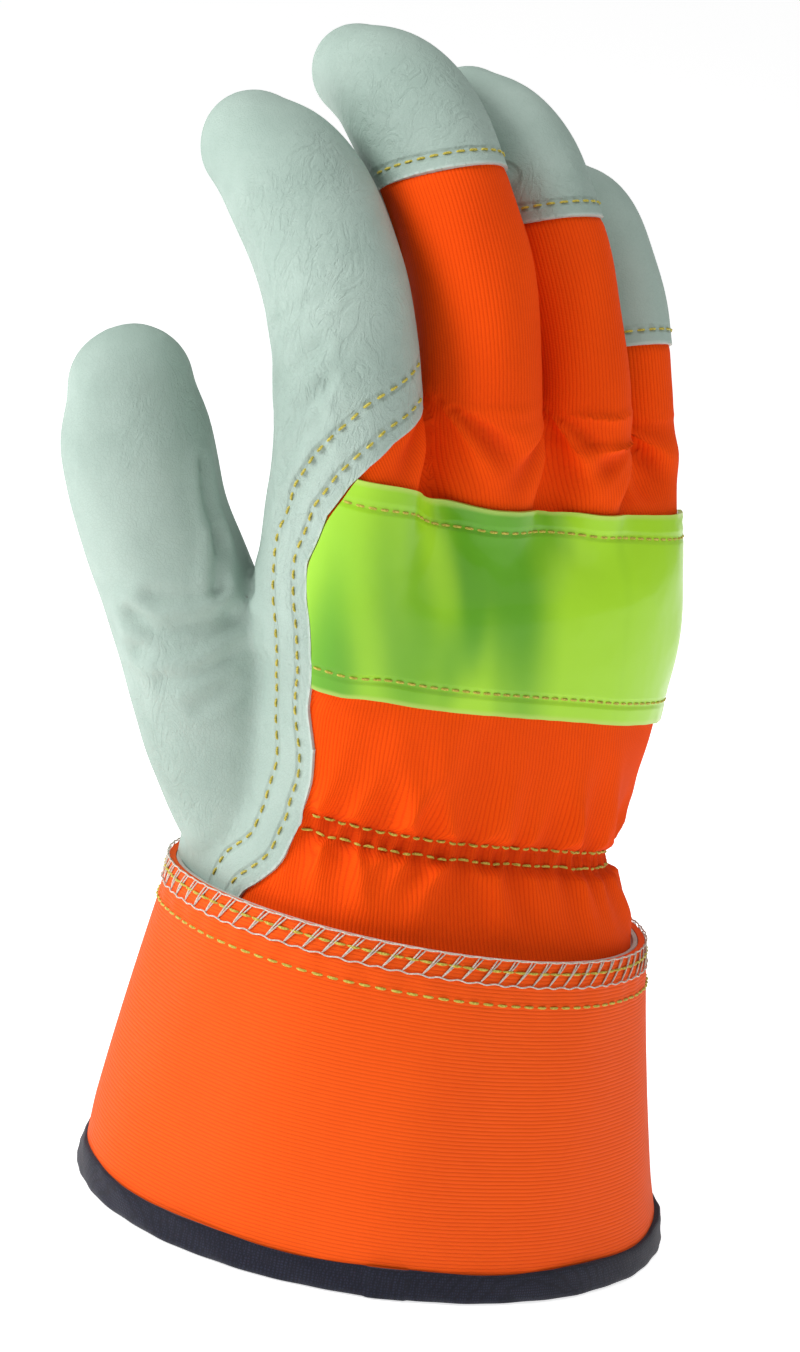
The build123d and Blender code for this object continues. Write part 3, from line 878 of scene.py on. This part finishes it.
skin, skin_tris = grow_skin()
keep = (skin[:, 2] > seam_height(skin[:, 0], skin[:, 1]) - 4.5)[skin_tris].all(1)
skin_tris = skin_tris[keep]
used, local = np.unique(skin_tris, return_inverse=True)
skin, skin_tris = skin[used], local.reshape(-1, 3)
skin_normals = normals(skin, skin_tris)
is_cloth = ramp((cloth_field(skin) + 0.5) / 2.0)
move = gather(skin) * is_cloth + leather_relief(skin) * (1 - is_cloth)
calm, calm_normals = skin, skin_normals
skin = skin + skin_normals * move[:, None]
skin_normals = normals(skin, skin_tris)
rib, along = rib_values(skin)
zero = np.zeros(len(skin))
depth = hollows(move, skin_tris)
# columns: 0 place, 3 normal, 6 rib, 7 seam, 8 along, 9 calm place, 12 calm normal, 15 depth, 16 edge,
# 17 relief
data = np.column_stack(
    [skin, skin_normals, rib, zero, along, calm, calm_normals, depth, zero, move * is_cloth]
)

# seam lines, then every panel cut out of the skin along them
field = cloth_field(data[:, :3])
seams = contour(data, skin_tris, field)
edge_points = np.vstack([line for line in seams if length_of(line) > 15])
data[:, 7] = distance_to(data[:, :3], edge_points)
palm_seam = edge_points[(edge_points[:, 0] < -14.3) & (edge_points[:, 2] < 167) & (edge_points[:, 1] < 2)]
data[:, 16] = np.where(data[:, 0] > COLUMN_EDGES[0], 99, distance_to(data[:, :3], palm_seam))
tris = skin_tris
data, tris = cut(data, tris, cloth_field(data[:, :3]))
data, tris = cut(data, tris, finger_field(data[:, :3]))
data, tris = cut(data, tris, thumb_field(data[:, :3]))
middle = data[tris].mean(1)[:, :3]
cloth = cloth_field(middle) > 0
fingered = finger_field(middle) > 0
thumbed = thumb_field(middle) > 0
col = column(middle)

# ------------------------------------------------------------------ the hand's and fingers' panels
HAND_BLEND = ("cuff", "hand", in_metres((0, 0, WRIST_BLEND[0])), in_metres((0, 0, WRIST_BLEND[1])))


def finger_blend(name):
    x, low = FINGERS[name][3][0], FINGER_START[name]
    return ("hand", name + "_finger", in_metres((x, 0, low)), in_metres((x, 0, low + FINGER_RUN)))


THUMB_BLEND = (
    "hand",
    "thumb",
    in_metres(THUMB_START),
    in_metres(np.array(THUMB_START) + unit(THUMB_TURN) * THUMB_RUN),
)


# what each kind of panel is made of, how far off the skin its outside is, and how thick it is
LAYERS = {
    "leather": (LEATHER, 0, LEATHER_THICK),
    "hi_vis_cloth": (BACK_CLOTH, -FABRIC_INSET, CLOTH_THICK),
    "elastic": (ELASTIC, -1.6, 0.5),
    "lining": (LINING, -2.2, 0.5),
}


def panel(name, mask, slot, bend, *nodes):
    """Panel over the masked triangles; elastic and lining lie on the calm surface, below the folds."""
    finish, offset, thick = LAYERS[slot]
    if slot in ("elastic", "lining"):
        obj = shell(name, under(data, offset), tris[mask], 0, thick, finish)
    else:
        obj = shell(name, data, tris[mask], offset, thick, finish)
    declare(obj, slot, bend, *nodes)


hand = ~fingered & ~thumbed
panel("glove_palm_leather", hand & ~cloth, "leather", HAND_BLEND, "palm_leather", "thumb_base")
panel("glove_back_cloth", hand & cloth, "hi_vis_cloth", HAND_BLEND, "back_fabric")
panel("glove_palm_lining", hand, "lining", HAND_BLEND, "palm_lining")
for i, name in enumerate(NAMES):
    mine = fingered & ~thumbed & (col == i)
    bend = finger_blend(name)
    back = side_field(name, middle) > 0
    if name == "index":
        panel("index_back_panel", mine & back, "leather", bend, "index_back_leather")
        panel("index_front_panel", mine & ~back, "leather", bend, "index_front_leather")
    else:
        panel(f"{name}_back_cloth", mine & cloth, "hi_vis_cloth", bend, f"{name}_back_fabric")
        panel(f"{name}_leather_cap", mine & ~cloth & back, "leather", bend, f"{name}_tip_cap")
        panel(f"{name}_front_panel", mine & ~cloth & ~back, "leather", bend, f"{name}_front_leather")
    panel(f"{name}_stall_lining", mine, "lining", bend, f"{name}_lining")
thumb_front = curve_frame(THUMB, middle)[2] > 0
panel("thumb_back_panel", thumbed & ~thumb_front, "leather", THUMB_BLEND, "thumb_back_leather")
panel("thumb_front_panel", thumbed & thumb_front, "leather", THUMB_BLEND, "thumb_front_leather")
panel("thumb_stall_lining", thumbed, "lining", THUMB_BLEND, "thumb_lining")
elastic = hand & cloth & (np.abs(above_shirring(middle) + SHIRR_GAP / 2) < ELASTIC_REACH)
panel("wrist_elastic_band", elastic, "elastic", HAND_BLEND, "wrist_elastic")

# ------------------------------------------------------------------ reflective strip
# (x, z) along its lower and upper edges, from the leather seam to the little finger's side
STRIP_LOW = [
    (-38, 114.5), (-33, 113.8), (-17.7, 111), (-2, 108.5), (16, 105.6), (33, 102), (50, 98.5), (60, 96),
]
STRIP_HIGH = [
    (-38, 155.8), (-33.3, 154.8), (-29, 153), (-15, 148.5),
    (1.5, 146.4), (19.5, 144.1), (40.5, 140.6), (60, 137),
]
STRIP_WIDTH = 40.0
STRIP_LIFT = 0.25
STRIP_THICK = 0.8
STRIP_END_Y = -7.0


def surface_tree(data, tris):
    return BVHTree.FromPolygons(data[:, :3].tolist(), tris.tolist())


def snapped(tree, points):
    """Nearest points on the skin, as rows of (x, y, z, normal)."""
    rows = []
    for q in points:
        where, normal, _, _ = tree.find_nearest(Vector(q))
        rows.append([*where, *normal])
    return np.array(rows)


def make_strip(calm_tree, tree):
    """Rows of the strip from the leather's seam round to the little finger's side, bridging the hollows."""
    across, up = 150, 56
    low, high = np.array(STRIP_LOW, float), np.array(STRIP_HIGH, float)
    edge = np.array(PALM_EDGE, float)
    angle = np.linspace(math.radians(186), math.radians(352), 260)
    rows = []
    for v in np.linspace(0, 1, up):
        z = np.full(len(angle), 128.0)
        for _ in range(4):
            cx, cy, rx, ry = at_height(HAND, z)
            x = cx + rx * squared(np.cos(angle), 2 / HAND_POWER)
            y = cy + ry * squared(np.sin(angle), 2 / HAND_POWER)
            bottom, top = np.interp(x, low[:, 0], low[:, 1]), np.interp(x, high[:, 0], high[:, 1])
            z = bottom + v * (top - bottom)
        q = snapped(calm_tree, np.stack([x, y, z], 1))
        seam_x = np.interp(q[:, 2], edge[:, 0], edge[:, 1]) + 0.15
        front = angle < math.radians(270)
        ok = np.where(front, (q[:, 0] >= seam_x) & (q[:, 1] < -6), q[:, 1] < STRIP_END_Y)
        q = q[ok]
        run = travelled(q)
        u = np.linspace(0, run[-1], across)
        rows.append(np.stack([np.interp(u, run, q[:, k]) for k in range(6)] + [u], 1))
    flat = np.array(rows)
    for _ in range(40):
        flat[:, 1:-1, :6] = (flat[:, :-2, :6] + 2 * flat[:, 1:-1, :6] + flat[:, 2:, :6]) / 4
    flat[:, :, :6] = smooth_grid(flat[:, :, :6], 5)
    flat[:, :, 3:6] = unit(flat[:, :, 3:6])
    height = np.linspace(0, 1, up)[:, None] + np.zeros((1, across))
    from_edge = np.minimum(height, 1 - height) * STRIP_WIDTH
    u = flat[:, :, 6]
    pucker = 0.2 * np.sin(u * TURN / 6.1 + 2 * np.sin(u / 7)) * np.exp(-((from_edge - 1) / 3.0) ** 2)
    swell = 0.45 * np.sin(u * TURN / 31 + 1.2 + height * 2.2) * ramp(from_edge / 9)
    groove = -0.3 * np.exp(-(((from_edge - STRIP_ROW) / 0.7) ** 2))
    flat[:, :, :3] += flat[:, :, 3:6] * (pucker + swell + groove)[:, :, None]
    for _ in range(2):
        near = snapped(tree, flat[:, :, :3].reshape(-1, 3))
        gap = ((flat[:, :, :3].reshape(-1, 3) - near[:, :3]) * near[:, 3:6]).sum(1).reshape(up, across)
        raise_by = np.maximum(0, 0.1 - gap)
        raise_by = np.maximum(raise_by, smooth_grid(raise_by[:, :, None], 8)[:, :, 0])
        flat[:, :, :3] += flat[:, :, 3:6] * smooth_grid(raise_by[:, :, None], 2)
    return np.dstack([flat[:, :, :6], u, from_edge, height * STRIP_WIDTH])


def smooth_grid(g, rounds):
    for _ in range(rounds):
        g = g.copy()
        g[1:-1] = (g[:-2] + 2 * g[1:-1] + g[2:]) / 4
        g[:, 1:-1] = (g[:, :-2] + 2 * g[:, 1:-1] + g[:, 2:]) / 4
    return g


def grid_tris(rows, columns, closed=False):
    """Two triangles in each cell of a grid of points, whose rows may run round to their start."""
    i = np.arange(rows * columns).reshape(rows, columns)
    if closed:
        i = np.hstack([i, i[:, :1]])
    a, b, c, d = (v.ravel() for v in (i[:-1, :-1], i[:-1, 1:], i[1:, 1:], i[1:, :-1]))
    return np.vstack([np.stack([a, b, c], 1), np.stack([a, c, d], 1)])


strip = make_strip(surface_tree(data[:, 9:12], tris), surface_tree(data, tris))
up, across, _ = strip.shape
strip_data = strip.reshape(-1, 9)
strip_obj = shell("knuckle_strip", strip_data, grid_tris(up, across), STRIP_LIFT, STRIP_THICK, STRIP)
declare(strip_obj, "reflective_vinyl", "hand", "reflective_strip")

# ------------------------------------------------------------------ rows of stitches on the hand
runs = []
for level in (STRIP_ROW / STRIP_WIDTH, 1 - STRIP_ROW / STRIP_WIDTH):
    runs += stitches(strip[int(round(level * (up - 1)))], 2.2, 1.9, 0.2, 0.35, STRIP_LIFT - 0.05)
declare(threads("strip_stitch_rows", runs, THREAD, YELLOW), "yellow_thread", "hand", "strip_stitching")

field = cloth_field(data[:, :3])
from_seam = distance_to(data[:, :3], palm_seam)


def parts(line, ok, shortest=8):
    """The unbroken lengths of a line along which ok holds."""
    breaks = np.where(~ok)[0]
    pieces = np.split(line, breaks)
    return [q[1:] if len(q) else q for q in pieces if len(q) > 6 and length_of(q[1:]) > shortest]


runs = []
for level in EDGE_ROWS:
    f = np.where(field < 0, from_seam, -1.0) - level
    for line in contour(data, tris, f):
        real = np.abs(distance_to(line[:, :3], palm_seam) - level) < 0.35
        real &= line[:, 2] > seam_height(line[:, 0], line[:, 1]) + 1
        real &= line[:, 3] < 0.8
        for part in parts(line, real, 14):
            runs += stitches(part, 2.9, 2.2, 0.22, 0.3)
declare(threads("palm_edge_stitch_rows", runs, THREAD, YELLOW), "yellow_thread", HAND_BLEND)

runs = []
for drop in (0, SHIRR_GAP):
    f = np.where((field > 0.6) & (data[:, 1] <= -2), above_shirring(data) + drop, NOWHERE)
    line = contour(data, tris, f)[0]
    line = line[np.abs(above_shirring(line) + drop) < OFF_ROW]
    runs += stitches(line, 2.6, 2.1, 0.3, 0.25, -FABRIC_INSET)
declare(threads("wrist_shirring_rows", runs, COARSE, YELLOW), "yellow_thread", HAND_BLEND, "wrist_shirring")

for i, name in enumerate(NAMES):
    if name not in CAPS:
        continue
    places = data[:, :3]
    back = (column(places) == i) & (side_field(name, places) > CAP_ROW_SHORT) & (data[:, 2] > 150)
    line = contour(data, tris, np.where(back, above_cap_seam(name, places) - CAP_ROW, NOWHERE))[0]
    line = line[np.abs(above_cap_seam(name, line[:, :3]) - CAP_ROW) < OFF_ROW]
    row = threads(f"{name}_cap_stitch_row", stitches(line, 2.5, 1.9, 0.2, 0.3), CAP_THREAD, YELLOW)
    declare(row, "yellow_thread", name + "_finger", f"{name}_cap_stitching")

# ------------------------------------------------------------------ cuff
CUFF = [(-10, -0.2, 0.2, 60.7, 54.6), (62, 1, -1, 48.2, 43), (74, 1.2, -1.2, 46.2, 41)]
AROUND = 420
HEM_GAP = 0.8
HEM_RADIUS = 59
CUFF_SLOPE = 12 / 72


def cuff_rows(low, high, count):
    """Rows of the cuff's surface between two heights given at each angle, as data with normals."""
    th = around(AROUND)
    grid = np.zeros((count, AROUND, 9))
    for r, v in enumerate(np.linspace(0, 1, count)):
        z = low(th) + v * (high(th) - low(th))
        cx, cy, rx, ry = at_height(CUFF, z, 0)
        x, y = cx + rx * np.cos(th), cy + ry * np.sin(th)
        n = unit(np.stack([np.cos(th) / rx, np.sin(th) / ry, CUFF_SLOPE / np.sqrt(rx * ry)], 1))
        p = np.stack([x, y, z], 1)
        p += n * cuff_relief(th, z - hem_height(x), seam_height(x, y) - z)[:, None]
        grid[r] = np.column_stack([p, n, th * (rx + ry) / 2, np.zeros(AROUND), np.full(AROUND, v * 62)])
    return grid


def cuff_relief(th, z, below_seam):
    """Slack and soft folds of the stiff cuff, dying out at its hem and its seam."""
    free = ramp(z / 14) * ramp(below_seam / 16)
    slack = 0.55 * np.sin(3 * th + 0.8 + z / 40) + 0.35 * np.sin(5 * th + z / 25)
    slack += 0.2 * np.sin(11 * th - z / 18)
    pull = -0.25 * np.exp(-(((below_seam - 6) / 3) ** 2)) * np.sin(38 * th)
    return free * slack + 0.5 * pull


def cuff_top(th, drop=0.0):
    _, cx, cy, rx, ry = CUFF[1]
    return seam_height(cx + rx * np.cos(th), cy + ry * np.sin(th)) - drop


def true_normals(grid):
    t = grid_tris(len(grid), AROUND, True)
    flat = grid.reshape(-1, 9)
    flat[:, 3:6] = normals(flat[:, :3], t)
    return flat, t


def hem_line(th):
    return HEM_GAP + hem_height(HEM_RADIUS * np.cos(th))


cuff_flat, cuff_tris = true_normals(cuff_rows(hem_line, cuff_top, 90))
for name, offset, thick, finish, slot, node in (
    ("cuff_outer_cloth", 0, 1.2, CUFF_CLOTH, "cuff_cloth", "cuff_outer"),
    ("cuff_inner_lining", -1.35, 0.8, LINING, "lining", "cuff_lining"),
):
    declare(shell(name, cuff_flat, cuff_tris, offset, thick, finish), slot, "cuff", node)

# binding: a tape folded over the hem, (out from the cuff's surface, height) round its section
TAPE = [
    (0.1, 5.6), (0.55, 5.75), (0.85, 5.4), (0.95, 4.2), (0.98, 2.6), (0.92, 1.2), (0.7, 0.35), (0.2, 0.02),
    (-1.2, 0.0), (-2.6, 0.05), (-3.05, 0.6), (-3.1, 2.6), (-3.05, 4.6), (-2.7, 5.3), (-2.25, 5.1),
]
JOIN = (math.radians(238), math.radians(246))


def make_binding():
    th = around(AROUND)
    verts = []
    lap = ((th > JOIN[0]) & (th < JOIN[1])).astype(float)
    for out, z in TAPE:
        level = hem_height(HEM_RADIUS * np.cos(th)) + z
        cx, cy, rx, ry = at_height(CUFF, level, 0)
        n = unit(np.stack([np.cos(th) / rx, np.sin(th) / ry], 1))
        uneven = 0.12 * np.sin(17 * th + z) + 0.08 * np.sin(41 * th + 2 * z)
        o = out + (uneven + 0.5 * lap) * (out > 0)
        lift = 0.25 * np.sin(9 * th + 1) * (z > 4)
        p = np.stack([cx + rx * np.cos(th), cy + ry * np.sin(th)], 1) + n * o[:, None]
        verts.append(np.column_stack([p, hem_height(p[:, 0]) + z + lift]))
    count = len(TAPE)
    verts = np.vstack(verts)
    i = np.arange(count * AROUND).reshape(count, AROUND)
    j = np.roll(i, -1, axis=1)
    below_i, below_j = np.roll(i, -1, axis=0), np.roll(j, -1, axis=0)
    faces = np.stack([i.ravel(), below_i.ravel(), below_j.ravel(), j.ravel()], 1)
    return add_mesh("hem_bias_binding", verts, faces, NAVY)


declare(make_binding(), "binding", "cuff", "hem_binding")


def cuff_line(drop, out=0.0, wobble=0.0, pitch=6.0):
    """A closed line round the cuff at a distance below its top edge."""
    line = cuff_rows(lambda th: cuff_top(th, drop), lambda th: cuff_top(th, drop), 1)[0]
    line = np.vstack([line, line[:1]])
    run = travelled(line)
    line[:, 2] += wobble * np.sin(run * TURN / pitch)
    line[:, :3] += line[:, 3:6] * out
    return line


OVERLOCK = 4.6
RUNG = 3.8
upper, lower = sample(cuff_line(-0.2, 0.15), RUNG), sample(cuff_line(OVERLOCK, 0.1), RUNG)
runs = []
for k in range(len(upper) - 1):
    a, b, c = upper[k, :3], lower[k, :3], upper[k + 1, :3]
    n = upper[k, 3:6]
    for start, end, lift in ((a, b, 0.3), (b, a * 0.75 + c * 0.25, 0.15)):
        t = np.linspace(0, 1, 7)[:, None]
        runs.append(start + (end - start) * t + n * lift * np.sin(t * math.pi))
for line in (cuff_line(-0.2, 0.25, 0.1, RUNG), cuff_line(OVERLOCK, 0.15, 0.2, RUNG)):
    fine = sample(line, 0.45)
    for k in range(0, len(fine) - 6, 5):
        piece = fine[k : k + 8, :3].copy()
        piece += fine[k : k + 8, 3:6] * (0.25 * np.sin(np.linspace(0, math.pi, len(piece))))[:, None]
        runs.append(piece)
declare(
    threads("cuff_seam_overlock_stitch", runs, FINE, PALE), "overlock_thread", "cuff", "cuff_seam_overlock"
)

runs = stitches(cuff_line(2.0), 2.7, 2.3, 0.45, 0.1) + stitches(cuff_line(8.4), 3.0, 2.3, 0.25, 0.3)
declare(threads("cuff_topstitch_rows", runs, COARSE, YELLOW), "yellow_thread", "cuff", "cuff_topstitching")

# ------------------------------------------------------------------ camera, light and floor
AZIMUTH, ELEVATION, ROLL = math.radians(-36), math.radians(17), math.radians(5.5)
CAMERA_DISTANCE, FOCAL = 900, 127.0
AIM = (0, 0, 118)
AIM_RIGHT, AIM_UP = -4.34, -10.57


def make_camera():
    flat = math.cos(ELEVATION)
    back = Vector((math.sin(AZIMUTH) * flat, -math.cos(AZIMUTH) * flat, math.sin(ELEVATION)))
    level = Vector((math.cos(AZIMUTH), math.sin(AZIMUTH), 0))
    upright = back.cross(level)
    right = level * math.cos(ROLL) + upright * math.sin(ROLL)
    up = -level * math.sin(ROLL) + upright * math.cos(ROLL)
    place = Vector(AIM) + right * AIM_RIGHT + up * AIM_UP + back * CAMERA_DISTANCE
    right, up, back, place = (Vector(leaned(v)) for v in (right, up, back, place))
    data = bpy.data.cameras.new("camera")
    data.lens, data.sensor_width = FOCAL, 36
    data.clip_start, data.clip_end = 0.01, 20
    obj = added("camera", data)
    turn = Matrix((right, up, back)).transposed()
    obj.matrix_world = Matrix.Translation(place * MM) @ turn.to_4x4()
    bpy.context.scene.camera = obj
    return right, up, back


def area_light(name, place, size, power):
    data = bpy.data.lights.new(name, "AREA")
    data.shape, data.size, data.size_y = "RECTANGLE", size[0], size[1]
    data.energy = power
    obj = added(name, data)
    obj.location = place
    obj.rotation_mode = "QUATERNION"
    obj.rotation_quaternion = (Vector(place) - middle_point).to_track_quat("Z", "Y")


right, up_dir, back_dir = make_camera()
middle_point = Vector((0, 0, 0.12))


def from_camera(sideways, height, towards):
    return tuple(middle_point + right * sideways + up_dir * height + back_dir * towards)


area_light("key", from_camera(-0.85, 0.62, 0.5), (0.5, 0.5), 9.6)
area_light("fill", from_camera(0.9, 0.25, 0.6), (0.6, 0.9), 1.1)
area_light("top", (0, 0, 1.1), (0.8, 0.8), 3.6)
area_light("rim", from_camera(-0.9, 0.1, -0.35), (0.5, 0.9), 2.6)

world = bpy.data.worlds.new("studio")
world.use_nodes = True
background = world.node_tree.nodes["Background"].inputs
background["Color"].default_value = (1, 1, 1, 1)
background["Strength"].default_value = 0.27
bpy.context.scene.world = world
bpy.context.scene.view_settings.view_transform = "Standard"


def make_floor():
    g = Graph("pale_floor")
    g.settle(Base_Color=(0.93, 0.93, 0.93), Roughness=0.7, Emission_Color=(1, 1, 1), Emission_Strength=0.72)
    size = 6.0
    mesh = bpy.data.meshes.new("floor")
    corners = [(-size, -size, 0), (size, -size, 0), (size, size, 0), (-size, size, 0)]
    mesh.from_pydata(corners, [], [(0, 1, 2, 3)])
    mesh.materials.append(g.material)
    floor = added("floor", mesh)
    floor.location.z = -0.0002


make_floor()
